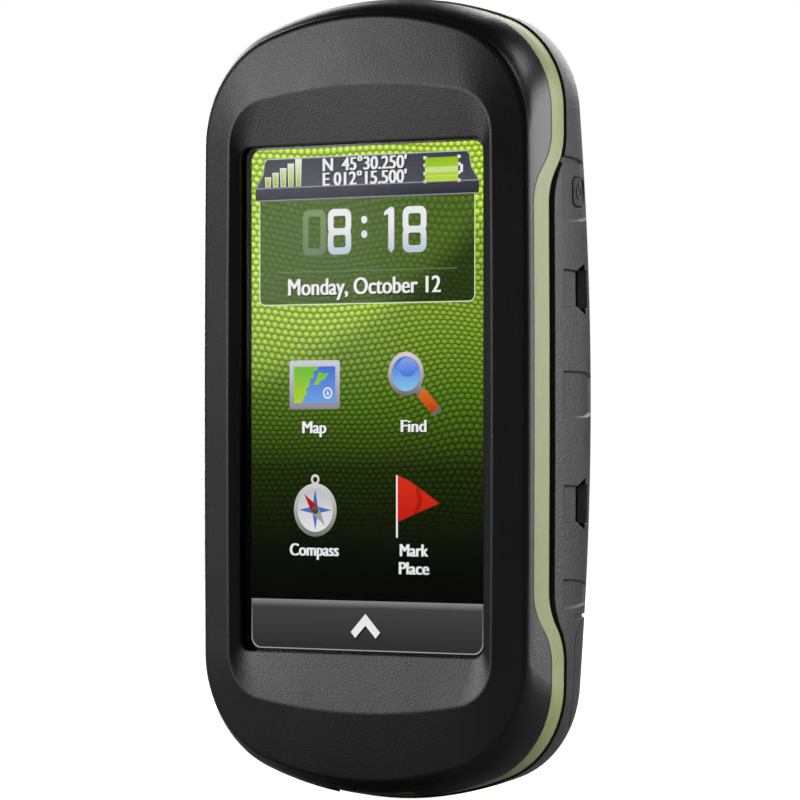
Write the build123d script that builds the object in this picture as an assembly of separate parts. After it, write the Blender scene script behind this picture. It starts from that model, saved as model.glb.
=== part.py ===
from build123d import *
from math import hypot, sqrt
import os

# Handheld satellite navigator, upright: +X to the right of the display, +Y to the back, +Z up.
# The origin is the middle of the whole unit. Everything is in millimetres.

# ---------------------------------------------------------------- driving dimensions
DEPTH = 36.4
HALF_WIDTH = 37.4
HALF_HEIGHT = 72.1
FRONT = -DEPTH / 2
BACK = DEPTH / 2
WALL = 2.4
FAR = 60.0                      # past every face of the unit
STRAIGHT = 4000.0               # arc radius that stands for a straight side
SEAM = 0.15                     # half of the gap round every loose part
ROOT = 0.3                      # how far a boss or post runs into the wall it stands on
TINY = 0.001

# Outer skin from front to back: depth, half width, half height, side radius, corner radius.
# The ends are struck from the centre, so their radius is the half height.
CREASE = [
    (-17.06, 35.1, 68.1, STRAIGHT, 20.4),
    (-16.9, 35.55, 68.55, STRAIGHT, 20.2),
    (-16.62, 35.88, 68.9, STRAIGHT, 20.1),
]
SKIN = [
    (-16.2, 36.08, 69.15, STRAIGHT, 20.0),
    (-14.6, 36.55, 70.4, STRAIGHT, 19.4),
    (-11.4, 37.15, 71.6, STRAIGHT, 18.6),
    (-7.6, HALF_WIDTH, HALF_HEIGHT, STRAIGHT, 18.0),
    (-3.0, 37.3, 71.9, 1650.0, 18.0),
    (0.6, 36.95, 71.2, 760.0, 18.0),
    (2.6, 36.2, 70.2, 580.0, 17.8),
    (4.6, 34.9, 68.8, 530.0, 17.4),
    (8.5, 31.6, 65.6, 510.0, 16.4),
    (12.5, 28.2, 62.2, 500.0, 15.4),
    (15.6, 25.5, 59.4, 490.0, 14.4),
    (17.4, 23.6, 57.4, 480.0, 13.6),
    (BACK, 21.4, 55.2, 470.0, 12.8),
]

# Display and the dished panel round it.
OPEN_HW, OPEN_HH, OPEN_R = 26.95, 45.8, 2.2
RIDGE_HW, RIDGE_HH, RIDGE_END_R, RIDGE_R, RIDGE_FLAT = 29.4, 56.4, 128.0, 8.4, 0.3
DISH_FLOOR, BEZEL_BACK, PLATE_BACK = -17.5, -16.7, -15.2
GLASS_HW, GLASS_HH, GLASS_R, GLASS_T = 28.4, 48.2, 3.0, 0.8
GASKET_T, GASKET_W = 0.2, 0.9
GLASS_FRONT = BEZEL_BACK + GASKET_T
LCD_HW, LCD_HH, LCD_FRONT, LCD_BACK = 26.8, 47.4, -15.6, -12.6
CHASSIS_HW, CHASSIS_HH, CHASSIS_FRONT, CHASSIS_T = 27.2, 60.0, -12.5, 0.8
BOARD_HW, BOARD_HH, BOARD_FRONT, BOARD_BACK = 27.2, 60.0, -10.6, -9.4

# Olive trim band: its front edge runs forward along the grip and back round both ends.
BAND_MID, BAND_END, BAND_W = -15.4, -10.8, 4.0
GAP_MID, GAP_END = 1.1, 0.45
WAVE_START, WAVE_STOP = 34.0, 47.0
BAND_INSET, SEAL_INSET = 0.35, 0.9
NOTCH_HW, NOTCH_TOP, NOTCH_FRONT = 9.2, -69.6, -14.2

# Battery bay, its cover and the ring latch.
BAY_HW, BAY_LOW, BAY_HIGH = 22.0, -30.0, 22.0
BAY_FLOOR, BAY_RIM, BAY_WALL = -1.5, 14.0, 1.4
PACK_GAP = 0.4
PACK_BACK = 13.0
COVER_HW, COVER_LOW, COVER_HIGH, COVER_R = 27.0, -60.0, 26.0, 5.0
COVER_T, COVER_AIR, FLOOR_T = 1.8, 0.2, 1.6
STEM_FRONT = 10.0
WING_TOP, WING_FRONT, WING_R = -38.6, -3.6, 6.0
GROOVE_HALF, GROOVE_DEPTH = 0.4, 0.45
LATCH_Z = -45.5
DISH_R, DISH_DEPTH = 11.4, 3.0
DISH_Y = BACK - DISH_DEPTH
SHAFT_R, SHAFT_CLEAR, HUB_R, HUB_H = 2.6, 0.06, 4.4, 2.7
RING_R, WIRE_R = 9.6, 0.9
RING_Y, RING_Z = DISH_Y + 1.35, LATCH_Z + 1.8
CAM_BACK, CAM_T, CAM_HALF, CAM_REACH = 10.0, 1.4, 2.5, 12.0
WELL_R, WELL_FLOOR, LEDGE_FRONT, LEDGE_T, LEDGE_R = 13.4, 7.6, 10.3, 1.3, 10.6

# Side slots for the vehicle cradle, and the shallow dips between the raised grip blocks.
SLOT_ZS = (19.2, -18.8)
SLOT_HALF, SLOT_TAPER, SLOT_FRONT, SLOT_BACK, SLOT_FLOOR_X = 4.6, 1.2, -2.9, -0.2, 34.2
SLOT_LEAD = 1.8
DIP_DEPTH, DIP_FRONT, DIP_BACK, DIP_RAMP = 0.55, -7.8, 7.0, 1.1
SLOT_DIP_HALF = 3.7
RIGHT_DIPS = [(-3.9, 5.0), (-37.6, -31.6), (30.6, 43.0)]
LEFT_DIPS = [(-37.6, -31.6)]

# Power key on the right side.
KEY_Y, KEY_Z, KEY_W, KEY_H, KEY_R = -1.0, 36.4, 4.9, 5.0, 1.2
KEY_CLEAR, KEY_FACE_X, KEY_PROUD, KEY_PAD, KEY_AIR = 0.2, 32.5, 0.15, 1.6, 0.05
FLANGE_T, FLANGE_LIP = 0.6, 0.8
KEY_TRAVEL, BRACKET_X = 0.5, 29.0
SWITCH_TIP_X = KEY_FACE_X - FLANGE_T - KEY_TRAVEL - 0.05

# Back: speaker grille, vent, powered-mount contacts, battery and card contacts.
SPEAKER_X, SPEAKER_Z, SPEAKER_R, SPEAKER_T, SPEAKER_GASKET = 10.5, 41.0, 7.5, 3.8, 0.6
GRILLE_PITCH, GRILLE_HW, GRILLE_HH = 2.4, 0.6, 4.5
VENT_X, VENT_Z, VENT_R = -1.5, 50.5, 0.6
PIN_XS, PIN_Z, PIN_R, PIN_BED, PIN_BED_HW = (-6, -2, 2, 6), 30.5, 0.8, 0.5, 8.5
PAD_XS, PAD_Z, PAD_R = (-5, 0, 5), 18.0, 0.7
CARD_Y, CARD_LOW = -4.3, -25.5

# Weather caps on the left side and on the back, and the sockets behind them.
USB_Z, USB_HALF, JACK_Z, JACK_HALF = 0.0, 6.4, 33.6, 4.2
CAP_FRONT, CAP_BACK, CAP_T, CAP_GAP = -9.0, -2.4, 1.5, 0.2
CAP_X, CAP_W, PLUG_L, LAND_R, LAND_T = -35.75, 7.0, 0.7, 2.4, 0.15
USB_W, USB_T = 7.7, 3.9
PORT_Y = -6.0
JACK_BORE_R, JACK_R, JACK_LEN = 1.8, 2.9, 12.0
AERIAL_X, AERIAL_Z, AERIAL_HALF = -11.5, 44.0, 4.4
AERIAL_BORE_R, AERIAL_R, AERIAL_LEN, AERIAL_DEPTH = 1.75, 2.8, 8.0, 4.0

# Case screws: three down each side, from the back into bosses on the front housing.
SCREW_X, SCREW_ZS = 30.0, (46.0, 11.0, -46.0)
SCREW_R, HEAD_R, HEAD_H = 1.05, 1.9, 1.5
SCREW_SEAT, BOSS_JOINT, BOSS_R, PILOT_R, PILOT_END = -4.0, -9.0, 2.5, 1.1, -14.4
BORE_R, COUNTERBORE_R, SLEEVE_R = 1.3, 2.25, 3.3
BOARD_SCREWS = [(sx * 22.0, sz * 54.0) for sx in (-1, 1) for sz in (-1, 1)]
POST_R = 2.2


# ---------------------------------------------------------------- shape helpers
def meet(a, radius_a, b, radius_b):
    """The crossing of two circles in the quadrant of positive x and z."""
    gap = hypot(b[0] - a[0], b[1] - a[1])
    along = (radius_a**2 - radius_b**2 + gap**2) / (2 * gap)
    off = sqrt(radius_a**2 - along**2)
    ux, uz = (b[0] - a[0]) / gap, (b[1] - a[1]) / gap
    first = (a[0] + along * ux - off * uz, a[1] + along * uz + off * ux)
    second = (a[0] + along * ux + off * uz, a[1] + along * uz - off * ux)
    return first if first[0] > 0 and first[1] > 0 else second


def arch(y, half_w, half_h, side_r, corner_r, end_r=None):
    """Closed outline across the unit at depth y: two sides, two ends and four corners, all arcs."""
    end_r = end_r or half_h
    side_c = (half_w - side_r, 0.0)
    end_c = (0.0, half_h - end_r)
    c = meet(side_c, side_r - corner_r, end_c, end_r - corner_r)
    to_side = ((c[0] - side_c[0]) / (side_r - corner_r), (c[1] - side_c[1]) / (side_r - corner_r))
    to_end = ((c[0] - end_c[0]) / (end_r - corner_r), (c[1] - end_c[1]) / (end_r - corner_r))
    mid = (to_side[0] + to_end[0], to_side[1] + to_end[1])
    size = hypot(*mid)
    side = (c[0] + corner_r * to_side[0], c[1] + corner_r * to_side[1])
    end = (c[0] + corner_r * to_end[0], c[1] + corner_r * to_end[1])
    turn = (c[0] + corner_r * mid[0] / size, c[1] + corner_r * mid[1] / size)

    def at(point, sx=1, sz=1):
        return (sx * point[0], y, sz * point[1])

    return Wire([
        Edge.make_three_point_arc(at(side, 1, -1), (half_w, y, 0), at(side)),
        Edge.make_three_point_arc(at(side), at(turn), at(end)),
        Edge.make_three_point_arc(at(end), (0, y, half_h), at(end, -1)),
        Edge.make_three_point_arc(at(end, -1), at(turn, -1), at(side, -1)),
        Edge.make_three_point_arc(at(side, -1), (-half_w, y, 0), at(side, -1, -1)),
        Edge.make_three_point_arc(at(side, -1, -1), at(turn, -1, -1), at(end, -1, -1)),
        Edge.make_three_point_arc(at(end, -1, -1), (0, y, -half_h), at(end, 1, -1)),
        Edge.make_three_point_arc(at(end, 1, -1), at(turn, 1, -1), at(side, 1, -1)),
    ])


def skin(inset):
    """The body of the unit behind its front crease, drawn in by inset all round."""
    sections = []
    for i, (y, half_w, half_h, side_r, corner_r) in enumerate(SKIN):
        y_before, w_before = SKIN[max(i - 1, 0)][:2]
        y_after, w_after = SKIN[min(i + 1, len(SKIN) - 1)][:2]
        run, fall = y_after - y_before, w_before - w_after
        size = hypot(run, fall)
        across, back = inset * run / size, inset * fall / size
        if i == len(SKIN) - 1:
            across, back = inset * 0.45, inset
        if i == 0:
            back = 0.0
        corner = max(corner_r - inset, 4)
        sections.append(arch(y - back, half_w - across, half_h - across, side_r, corner))
    return Solid.make_loft(sections)


def slab(x, y, z, radius=0.0):
    """Block between three pairs of limits, its corners rounded as seen from the front."""
    w, h = x[1] - x[0], z[1] - z[0]
    plane = Plane(origin=((x[0] + x[1]) / 2, y[0], (z[0] + z[1]) / 2), x_dir=(1, 0, 0), z_dir=(0, 1, 0))
    return extrude(plane * (RectangleRounded(w, h, radius) if radius else Rectangle(w, h)), y[1] - y[0])


def panel(half_w, y, half_h, radius):
    """Centred slab, rounded as seen from the front."""
    return slab((-half_w, half_w), y, (-half_h, half_h), radius)


def side_slab(x, y, z, radius=0.0):
    """Block between three pairs of limits, its corners rounded as seen from the side."""
    w, h = y[1] - y[0], z[1] - z[0]
    plane = Plane(origin=(x[0], (y[0] + y[1]) / 2, (z[0] + z[1]) / 2), x_dir=(0, 1, 0), z_dir=(1, 0, 0))
    return extrude(plane * (RectangleRounded(w, h, radius) if radius else Rectangle(w, h)), x[1] - x[0])


def rod(x, z, radius, y0, y1):
    """Round bar along Y."""
    return extrude(Plane(origin=(x, y0, z), x_dir=(1, 0, 0), z_dir=(0, 1, 0)) * Circle(radius), y1 - y0)


def cross_rod(y, z, radius, x0, x1):
    """Round bar along X."""
    return extrude(Plane(origin=(x0, y, z), x_dir=(0, 1, 0), z_dir=(1, 0, 0)) * Circle(radius), x1 - x0)


def carried(direction, length, *points):
    """A flat polygon carried a length along a direction."""
    return extrude(make_face(Polyline(*points, close=True)), length, dir=direction)


def ahead_of(mid, end):
    """All in front of a wavy parting line: depth mid along the grip, end round the top and bottom."""
    half = (mid + end) / 2
    bend = (WAVE_START + WAVE_STOP) / 2
    edges = []
    for sign in (-1, 1):
        stations = ((mid, WAVE_START), (half, bend), (end, WAVE_STOP))
        near, middle, far = [(-FAR, y, sign * z) for y, z in stations]
        edges.append(Edge.make_tangent_arc(near, (0, 0, sign), middle))
        edges.append(Edge.make_tangent_arc(far, (0, 0, -sign), middle))
        edges.append(Edge.make_line(far, (-FAR, end, sign * 2 * FAR)))
        edges.append(Edge.make_line((-FAR, end, sign * 2 * FAR), (-FAR, -FAR, sign * 2 * FAR)))
    edges.append(Edge.make_line((-FAR, mid, -WAVE_START), (-FAR, mid, WAVE_START)))
    edges.append(Edge.make_line((-FAR, -FAR, -2 * FAR), (-FAR, -FAR, 2 * FAR)))
    return extrude(Face(Wire(edges)), 2 * FAR, dir=(1, 0, 0))


def on_both_sides(shape):
    """The shape and its mirror image on the other side of the unit."""
    return shape + mirror(shape, Plane.YZ)


def write(name, *solids):
    """One STEP for a node, from one solid or from several separate ones."""
    export_step(solids[0] if len(solids) == 1 else Compound(children=list(solids)), f"parts/{name}.step")


# ---------------------------------------------------------------- the outer body and its parting
def outer_body():
    """Skin plus the crowned front face that carries the dished panel's ridge, its crease eased."""
    crown = Solid.make_loft([
        arch(FRONT, RIDGE_HW, RIDGE_HH, STRAIGHT, RIDGE_R, RIDGE_END_R),
        *[arch(*section) for section in CREASE],
        arch(*SKIN[0]),
    ], ruled=True)
    return crown + skin(0)


OUTER = outer_body()
CORE = skin(WALL)
FRONT_ZONE = ahead_of(BAND_MID, BAND_END)
BAND_ZONE = ahead_of(BAND_MID + BAND_W, BAND_END + BAND_W)
SEAL_ZONE = ahead_of(BAND_MID + BAND_W + GAP_MID, BAND_END + BAND_W + GAP_END)
NOTCH = slab((-NOTCH_HW, NOTCH_HW), (NOTCH_FRONT, BAND_END + 0.01), (-2 * FAR, NOTCH_TOP))


def front_housing():
    """Dark front shell: dished bezel, glass pocket, screw bosses and board posts."""
    hw, hh, r = RIDGE_HW - RIDGE_FLAT, RIDGE_HH - RIDGE_FLAT, RIDGE_R - RIDGE_FLAT
    dish = Solid.make_loft([
        arch(FRONT - TINY, hw, hh, STRAIGHT, r, RIDGE_END_R),
        arch(DISH_FLOOR, OPEN_HW, OPEN_HH, STRAIGHT, OPEN_R, STRAIGHT),
    ], ruled=True)
    shell = (OUTER & FRONT_ZONE) - dish
    shell -= CORE - slab((-FAR, FAR), (-FAR, PLATE_BACK), (-2 * FAR, 2 * FAR))
    shell -= panel(OPEN_HW, (-FAR, 0), OPEN_HH, OPEN_R)
    shell -= panel(GLASS_HW + SEAM, (BEZEL_BACK, 0), GLASS_HH + SEAM, GLASS_R)
    shell -= NOTCH
    for sx in (-1, 1):
        for z in SCREW_ZS:
            shell += rod(sx * SCREW_X, z, BOSS_R, PLATE_BACK - ROOT, BOSS_JOINT)
            shell -= rod(sx * SCREW_X, z, PILOT_R, PILOT_END, 0)
    # The bosses stand beside the glass, so its pocket is cleared of them.
    shell -= panel(GLASS_HW + SEAM, (BEZEL_BACK, GLASS_FRONT + GLASS_T), GLASS_HH + SEAM, GLASS_R)
    for x, z in BOARD_SCREWS:
        shell += rod(x, z, POST_R, PLATE_BACK - ROOT, CHASSIS_FRONT)
        shell -= rod(x, z, PILOT_R, PILOT_END, 0)
    return shell


def trim_band():
    """Olive ring between the housings, with a tongue that shows through the front's lower notch."""
    behind_notch = NOTCH - slab((-FAR, FAR), (-FAR, NOTCH_FRONT + SEAM), (-2 * FAR, FAR))
    ring_zone = (BAND_ZONE - FRONT_ZONE) + behind_notch
    tongue_gap = slab((-NOTCH_HW, -NOTCH_HW + SEAM), (-FAR, BAND_END), (-2 * FAR, 0))
    ring_zone -= on_both_sides(tongue_gap)
    return (skin(BAND_INSET) & ring_zone) - CORE


def housing_seal():
    """Black gasket ring in the gap behind the trim band."""
    return (skin(SEAL_INSET) & (SEAL_ZONE - BAND_ZONE)) - CORE


# ---------------------------------------------------------------- battery cover and its seat
def cover_zone(gap):
    """The T-shaped region of the cover: a stem up the back and wings round both sides."""
    stem_x, low, high = COVER_HW - gap, COVER_LOW + gap, COVER_HIGH - gap
    stem = slab((-stem_x, stem_x), (STEM_FRONT, FAR), (low, high), COVER_R)
    wing = side_slab((-FAR, FAR), (WING_FRONT + gap, 2 * FAR), (low, WING_TOP - gap), WING_R)
    return stem + wing


def wing_groove():
    """Cutter for the shallow groove that runs along the top seam of both wings."""
    band = slab((-FAR, FAR), (WING_FRONT, STEM_FRONT), (WING_TOP - GROOVE_HALF, WING_TOP + GROOVE_HALF))
    return band - skin(GROOVE_DEPTH)


def battery_cover():
    """Back cover with the latch's round dish sunk into it."""
    shell = ((OUTER - skin(COVER_T)) & cover_zone(SEAM)) - wing_groove()
    shell += rod(0, LATCH_Z, DISH_R + 1.2, DISH_Y - 1.6, BACK - 0.4)
    shell -= rod(0, LATCH_Z, DISH_R, DISH_Y, FAR)
    return shell - rod(0, LATCH_Z, SHAFT_R + SHAFT_CLEAR, 0, FAR)


def side_slot(z):
    """Cutter for one cradle slot on the right side, its back flank flared as a lead-in."""
    ends = SLOT_HALF - SLOT_TAPER
    pocket = carried((1, 0, 0), FAR - SLOT_FLOOR_X,
                     (SLOT_FLOOR_X, SLOT_FRONT, z - ends), (SLOT_FLOOR_X, SLOT_BACK, z - SLOT_HALF),
                     (SLOT_FLOOR_X, SLOT_BACK, z + SLOT_HALF), (SLOT_FLOOR_X, SLOT_FRONT, z + ends))
    flare = carried((0, 0, 1), 2 * ends,
                    (SLOT_FLOOR_X + 0.8, SLOT_BACK - 0.2, z - ends),
                    (HALF_WIDTH + 1, SLOT_BACK - 0.2, z - ends),
                    (HALF_WIDTH + 1, SLOT_BACK + SLOT_LEAD + 1, z - ends))
    return pocket + flare


def dip(low, high, back=DIP_BACK):
    """Cutter for a shallow dip in the right side: straight along Y, with ramped ends."""
    deep = 5 * DIP_RAMP / 4
    return carried((0, 1, 0), back - DIP_FRONT,
                   (HALF_WIDTH + 0.5, DIP_FRONT, low), (HALF_WIDTH + 0.5, DIP_FRONT, high),
                   (HALF_WIDTH - 2, DIP_FRONT, high - deep), (HALF_WIDTH - 2, DIP_FRONT, low + deep))


def grip_dips():
    """Every shallow dip between the raised grip blocks, both sides, as one cutter."""
    cutters = []
    for low, high in RIGHT_DIPS:
        cutters.append(dip(low, high))
    for low, high in LEFT_DIPS:
        cutters.append(mirror(dip(low, high), Plane.YZ))
    for z in SLOT_ZS:
        lead_in = dip(z - SLOT_DIP_HALF, z + SLOT_DIP_HALF, SLOT_FRONT + 0.5)
        cutters += [lead_in, mirror(lead_in, Plane.YZ)]
    return Part() + cutters - skin(DIP_DEPTH)


# ---------------------------------------------------------------- weather caps
def side_cap(z, half, plug):
    """Rubber flap on the left side, round at its hinge end, with a plug for the socket's mouth."""
    axis_x, axis_z = side_hinge(z, half)
    flap = side_slab((-FAR, CAP_X), (CAP_FRONT, CAP_BACK), (z - half, axis_z)) & OUTER
    return flap + rod(axis_x, axis_z, CAP_T / 2, CAP_FRONT, CAP_BACK) + plug


def side_hinge(z, half):
    """Where a side cap's hinge axis crosses the XZ plane."""
    return CAP_X - CAP_T / 2, z + half - CAP_T / 2


def side_cap_space(z, half):
    """Recess in the housing for a side cap."""
    g = CAP_GAP
    return side_slab((-FAR, CAP_X + g), (CAP_FRONT - g, CAP_BACK + g), (z - half - g, z + half + g))


def usb_cap():
    y, z = (PORT_Y - 0.9, PORT_Y + 0.9), (USB_Z - 2.6, USB_Z + 2.6)
    return side_cap(USB_Z, USB_HALF, side_slab((CAP_X - 0.5, CAP_X + PLUG_L), y, z))


def jack_cap():
    return side_cap(JACK_Z, JACK_HALF, cross_rod(PORT_Y, JACK_Z, LAND_R, CAP_X - 0.5, CAP_X + LAND_T))


def aerial_cap():
    """Round-ended rubber flap flush with the back."""
    half, front = AERIAL_HALF, BACK - CAP_T
    axis_z = AERIAL_Z + half - CAP_T / 2
    x = (AERIAL_X - CAP_W / 2, AERIAL_X + CAP_W / 2)
    flap = slab(x, (front, BACK), (AERIAL_Z - half, axis_z))
    flap += cross_rod(BACK - CAP_T / 2, axis_z, CAP_T / 2, *x)
    return flap + rod(AERIAL_X, AERIAL_Z, LAND_R, front - LAND_T, front + 0.5)


# ---------------------------------------------------------------- rear housing
def rear_housing():
    """Black back shell: cover seat, battery bay, latch well, screw sleeves and all side openings."""
    under_cover = skin(COVER_T + COVER_AIR)
    shell = (OUTER - SEAL_ZONE) - grip_dips() - wing_groove()
    shell -= cover_zone(0) - under_cover
    shell -= (CORE - cover_zone(-FLOOR_T)) + skin(COVER_T + COVER_AIR + FLOOR_T)

    wall = BAY_WALL
    bay_x, bay_z = (-BAY_HW - wall, BAY_HW + wall), (BAY_LOW - wall, BAY_HIGH + wall)
    shell += slab(bay_x, (BAY_FLOOR - wall, BAY_RIM), bay_z)
    shell += rod(0, LATCH_Z, WELL_R + wall, WELL_FLOOR - wall, FAR) & under_cover
    for sx in (-1, 1):
        for z in SCREW_ZS:
            shell += rod(sx * SCREW_X, z, SLEEVE_R, BOSS_JOINT, FAR) & under_cover
        for z in SLOT_ZS:
            x = sorted((sx * (SLOT_FLOOR_X - wall), sx * FAR))
            y = (SLOT_FRONT - wall, SLOT_BACK + SLOT_LEAD + wall)
            shell += side_slab(x, y, (z - SLOT_HALF - wall, z + SLOT_HALF + wall)) & under_cover

    pad_y = (KEY_Y - KEY_W / 2 - KEY_PAD, KEY_Y + KEY_W / 2 + KEY_PAD)
    pad_z = (KEY_Z - KEY_H / 2 - KEY_PAD, KEY_Z + KEY_H / 2 + KEY_PAD)
    shell += side_slab((KEY_FACE_X + KEY_AIR, FAR), pad_y, pad_z) & under_cover

    rim = BAY_WALL + SEAM
    shell -= slab((-BAY_HW - rim, BAY_HW + rim), (BAY_RIM, FAR), (BAY_LOW - rim, BAY_HIGH + rim), 2.0)
    shell -= slab((-BAY_HW, BAY_HW), (BAY_FLOOR, FAR), (BAY_LOW, BAY_HIGH), 3.0)
    shell -= rod(0, LATCH_Z, WELL_R, WELL_FLOOR, FAR)
    ledge = rod(0, LATCH_Z, WELL_R + 0.5, LEDGE_FRONT, LEDGE_FRONT + LEDGE_T)
    ledge -= rod(0, LATCH_Z, LEDGE_R, LEDGE_FRONT, LEDGE_FRONT + LEDGE_T)
    shell += ledge & slab((-FAR, FAR), (0, FAR), (LATCH_Z - 7, LATCH_Z + 7))

    for sx in (-1, 1):
        for z in SCREW_ZS:
            shell -= rod(sx * SCREW_X, z, COUNTERBORE_R, SCREW_SEAT, FAR)
            shell -= rod(sx * SCREW_X, z, BORE_R, BOSS_JOINT - 1, SCREW_SEAT)
    for z in SLOT_ZS:
        slot = side_slot(z)
        shell -= slot
        shell -= mirror(slot, Plane.YZ)
    return shell - rear_openings()


def rear_openings():
    """Holes for the key, the caps and their sockets, the speaker, the vent, the contacts and the card."""
    c = KEY_CLEAR
    y, z = (KEY_Y - KEY_W / 2 - c, KEY_Y + KEY_W / 2 + c), (KEY_Z - KEY_H / 2 - c, KEY_Z + KEY_H / 2 + c)
    holes = [side_slab((KEY_FACE_X - 1, FAR), y, z, KEY_R + c)]
    flange_y, flange_z = (y[0] - FLANGE_LIP, y[1] + FLANGE_LIP), (z[0] - FLANGE_LIP, z[1] + FLANGE_LIP)
    holes.append(side_slab((KEY_FACE_X - 2, KEY_FACE_X + KEY_AIR), flange_y, flange_z, KEY_R))
    holes += [side_cap_space(USB_Z, USB_HALF), side_cap_space(JACK_Z, JACK_HALF)]
    holes.append(cross_rod(PORT_Y, JACK_Z, JACK_R + 0.05, CAP_X - 1, CAP_X + 6))
    holes.append(usb_outline(CAP_X - 1, CAP_X + 6, 0.05))
    g, half_w = CAP_GAP, CAP_W / 2
    holes.append(slab((AERIAL_X - half_w - g, AERIAL_X + half_w + g), (BACK - CAP_T - g, FAR),
                      (AERIAL_Z - AERIAL_HALF - g, AERIAL_Z + AERIAL_HALF + g)))
    holes.append(rod(AERIAL_X, AERIAL_Z, AERIAL_R + 0.05, 0, FAR))
    for i in range(-2, 3):
        x = SPEAKER_X + i * GRILLE_PITCH
        z = (SPEAKER_Z - GRILLE_HH, SPEAKER_Z + GRILLE_HH)
        holes.append(slab((x - GRILLE_HW, x + GRILLE_HW), (0, FAR), z, GRILLE_HW - TINY))
    holes.append(rod(VENT_X, VENT_Z, VENT_R, 0, FAR))
    holes.append(slab((-PIN_BED_HW, PIN_BED_HW), (BACK - PIN_BED, FAR), (PIN_Z - 2, PIN_Z + 2), 1.5))
    holes += [rod(x, PIN_Z, PIN_R + 0.02, BACK - 4, FAR) for x in PIN_XS]
    holes += [rod(x, PAD_Z, PAD_R + 0.1, BAY_FLOOR - 2, BAY_FLOOR + 1) for x in PAD_XS]
    holes.append(slab((-7.5, 7.5), (BAY_FLOOR - 2, BAY_FLOOR + 1), (CARD_LOW - 2.5, CARD_LOW + 16)))
    return Part() + holes


# ---------------------------------------------------------------- display stack, chassis and board
def window_gasket():
    y = (BEZEL_BACK, GLASS_FRONT)
    ring = panel(GLASS_HW, y, GLASS_HH, GLASS_R)
    return ring - panel(GLASS_HW - GASKET_W, y, GLASS_HH - GASKET_W, GLASS_R - GASKET_W)


def display_window():
    return panel(GLASS_HW, (GLASS_FRONT, GLASS_FRONT + GLASS_T), GLASS_HH, GLASS_R)


def display_panel():
    return panel(LCD_HW, (LCD_FRONT, LCD_BACK), LCD_HH, 1.0)


def display_flex():
    """Flat cable from the display's lower edge, through the chassis, to the front of the board."""
    y0, y1, t = LCD_FRONT + 1.6, BOARD_FRONT, 0.3
    drop = -LCD_HH - 3
    tail = slab((-6, 6), (y0, y0 + t), (drop, -LCD_HH))
    tail += slab((-6, 6), (y0, y1), (drop - t, drop))
    return tail + slab((-6, 6), (y1 - t, y1), (drop - t, drop + 7))


def chassis():
    """Pressed metal plate that carries the display in front and the board behind."""
    plate = panel(CHASSIS_HW, (CHASSIS_FRONT, CHASSIS_FRONT + CHASSIS_T), CHASSIS_HH, 8.0)
    for x, z in BOARD_SCREWS:
        plate += rod(x, z, POST_R, CHASSIS_FRONT + 0.1, BOARD_FRONT)
        plate -= rod(x, z, BORE_R, CHASSIS_FRONT, BOARD_FRONT)
    return plate - slab((-7, 7), (CHASSIS_FRONT, 0), (-LCD_HH - 4.2, -LCD_HH - 2.2))


def main_board():
    board = panel(BOARD_HW, (BOARD_FRONT, BOARD_BACK), BOARD_HH, 8.0)
    for x, z in BOARD_SCREWS:
        board -= rod(x, z, BORE_R, BOARD_FRONT, BOARD_BACK)
    return board


def on_board(x, height, z, radius=0.0):
    """Block standing on the back of the board."""
    return slab(x, (BOARD_BACK, BOARD_BACK + height), z, radius)


def screws(places, tip, seat, radius):
    """Pan-head screws along Y with a driver recess, one separate solid each."""
    made = []
    for x, z in places:
        screw = rod(x, z, SCREW_R, tip, seat) + rod(x, z, radius, seat, seat + HEAD_H)
        made.append(screw - rod(x, z, 0.65, seat + 0.5, seat + HEAD_H))
    return made


# ---------------------------------------------------------------- sockets, key and sounder
def usb_outline(x0, x1, gap):
    return side_slab((x0, x1), (PORT_Y - USB_T / 2 - gap, PORT_Y + USB_T / 2 + gap),
                     (USB_Z - USB_W / 2 - gap, USB_Z + USB_W / 2 + gap), 0.6)


def usb_connector():
    mouth = CAP_X + CAP_GAP
    shell = usb_outline(mouth, mouth + 10, 0) - usb_outline(mouth, mouth + 8, -0.4)
    shell += side_slab((mouth + 2, mouth + 8), (PORT_Y - 0.4, PORT_Y + 0.4), (USB_Z - 2.4, USB_Z + 2.4))
    shell += side_slab((mouth + 7, mouth + 9), (PORT_Y - 0.5, PORT_Y + 0.5), (USB_Z - 2.6, USB_Z + 2.6))
    foot = PORT_Y - USB_T / 2
    return shell + slab((-BOARD_HW, mouth + 10), (BOARD_BACK, foot + 0.2), (USB_Z - 3, USB_Z + 3))


def audio_jack():
    mouth = CAP_X + CAP_GAP
    jack = cross_rod(PORT_Y, JACK_Z, JACK_R, mouth, mouth + JACK_LEN)
    jack += slab((-BOARD_HW, mouth + JACK_LEN), (BOARD_BACK, PORT_Y), (JACK_Z - JACK_R, JACK_Z + JACK_R))
    return jack - cross_rod(PORT_Y, JACK_Z, JACK_BORE_R, mouth, mouth + JACK_LEN - 1)


def aerial_connector():
    mouth = BACK - CAP_T - CAP_GAP
    barrel = rod(AERIAL_X, AERIAL_Z, AERIAL_R, mouth - AERIAL_LEN, mouth)
    return barrel - rod(AERIAL_X, AERIAL_Z, AERIAL_BORE_R, mouth - AERIAL_DEPTH, mouth)


def aerial_lead():
    """Short coaxial lead from the aerial connector straight down to its plug on the board."""
    end = BACK - CAP_T - CAP_GAP - AERIAL_LEN
    plug = rod(AERIAL_X, AERIAL_Z, 1.3, BOARD_BACK, BOARD_BACK + 1.2)
    return plug + rod(AERIAL_X, AERIAL_Z, 0.6, BOARD_BACK, end)


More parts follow.
